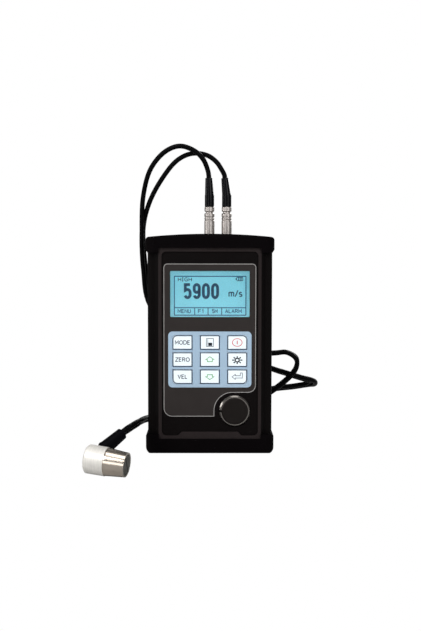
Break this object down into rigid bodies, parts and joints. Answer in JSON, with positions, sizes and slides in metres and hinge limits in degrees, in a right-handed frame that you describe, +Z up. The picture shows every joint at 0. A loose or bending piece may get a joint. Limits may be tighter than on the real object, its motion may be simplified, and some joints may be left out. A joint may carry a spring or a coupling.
{
  "type": "ultrasonic thickness gauge",
  "caption": "Handheld ultrasonic thickness gauge in a black case with rubber end bumpers, lit display, keypad, test block, and a dual probe on a twin lead.",
  "frame": {"origin": "middle of the lower bumper's underside, on the surface the gauge stands on", "axes": "+Z up the gauge towards its plugs, -Y out of the display, +X to the right as the display is read"},
  "size_m": [0.14, 0.1485, 0.1865],
  "materials": {
    "case": "satin anodised black",
    "plate": "matt",
    "screw": "plated",
    "bumper": "matt black",
    "overlay": "printed film",
    "window": "clear",
    "display": "lit blue",
    "backlight": "white diffuser",
    "keypad": "light blue",
    "key": "white",
    "mat": "silicone",
    "board": "solder mask green",
    "spacer": "natural nylon",
    "block": "ground",
    "ring": "bright",
    "tray": "black",
    "cell": "printed jacket",
    "contact": "nickel plated",
    "plug": "satin chrome",
    "boot": "black",
    "cable": "black jacket",
    "housing": "fine turned",
    "nose": "polished",
    "line": "dark resin",
    "barrier": "cork composite"
  },
  "bodies": {
    "gauge": {"case_body": "case", "top_plate": "plate", "bottom_plate": "plate", "end_screws": "screw", "top_bumper": "bumper", "bottom_bumper": "bumper", "front_overlay": "overlay", "display_window": "window", "display_glass": "display", "backlight": "backlight", "keypad_panel": "keypad", "dome_mat": "mat", "keypad_board": "board", "board_spacers": "spacer", "main_board": "board", "test_block": "block", "block_ring": "ring", "battery_tray": "tray", "battery_cells": "cell", "battery_contacts": "contact", "battery_cover": "case", "cover_screws": "screw", "socket_left": "plug", "socket_right": "plug", "socket_nuts": "plug", "plug_left": "plug", "plug_right": "plug", "boot_left": "boot", "boot_right": "boot", "cable_left": "cable", "cable_right": "cable", "probe_housing": "housing", "probe_nose": "nose", "delay_lines": "line", "probe_barrier": "barrier", "probe_boot": "boot"},
    "key_mode": {"key_mode": "key"},
    "key_save": {"key_save": "key"},
    "key_power": {"key_power": "key"},
    "key_zero": {"key_zero": "key"},
    "key_up": {"key_up": "key"},
    "key_light": {"key_light": "key"},
    "key_velocity": {"key_velocity": "key"},
    "key_down": {"key_down": "key"},
    "key_enter": {"key_enter": "key"},
    "sleeve_left": {"sleeve_left": "plug"},
    "sleeve_right": {"sleeve_right": "plug"}
  },
  "joints": [
    {"name": "key_mode_press", "type": "slide", "parent": "gauge", "child": "key_mode", "axis": [0, 1, 0], "range_m": [0, 0.0004], "stiffness_N_per_m": 200},
    {"name": "key_save_press", "type": "slide", "parent": "gauge", "child": "key_save", "axis": [0, 1, 0], "range_m": [0, 0.0004], "stiffness_N_per_m": 200},
    {"name": "key_power_press", "type": "slide", "parent": "gauge", "child": "key_power", "axis": [0, 1, 0], "range_m": [0, 0.0004], "stiffness_N_per_m": 200},
    {"name": "key_zero_press", "type": "slide", "parent": "gauge", "child": "key_zero", "axis": [0, 1, 0], "range_m": [0, 0.0004], "stiffness_N_per_m": 200},
    {"name": "key_up_press", "type": "slide", "parent": "gauge", "child": "key_up", "axis": [0, 1, 0], "range_m": [0, 0.0004], "stiffness_N_per_m": 200},
    {"name": "key_light_press", "type": "slide", "parent": "gauge", "child": "key_light", "axis": [0, 1, 0], "range_m": [0, 0.0004], "stiffness_N_per_m": 200},
    {"name": "key_velocity_press", "type": "slide", "parent": "gauge", "child": "key_velocity", "axis": [0, 1, 0], "range_m": [0, 0.0004], "stiffness_N_per_m": 200},
    {"name": "key_down_press", "type": "slide", "parent": "gauge", "child": "key_down", "axis": [0, 1, 0], "range_m": [0, 0.0004], "stiffness_N_per_m": 200},
    {"name": "key_enter_press", "type": "slide", "parent": "gauge", "child": "key_enter", "axis": [0, 1, 0], "range_m": [0, 0.0004], "stiffness_N_per_m": 200},
    {"name": "sleeve_left_pull", "type": "slide", "parent": "gauge", "child": "sleeve_left", "axis": [0, 0, 1], "range_m": [0, 0.0007]},
    {"name": "sleeve_right_pull", "type": "slide", "parent": "gauge", "child": "sleeve_right", "axis": [0, 0, 1], "range_m": [0, 0.0007]}
  ]
}
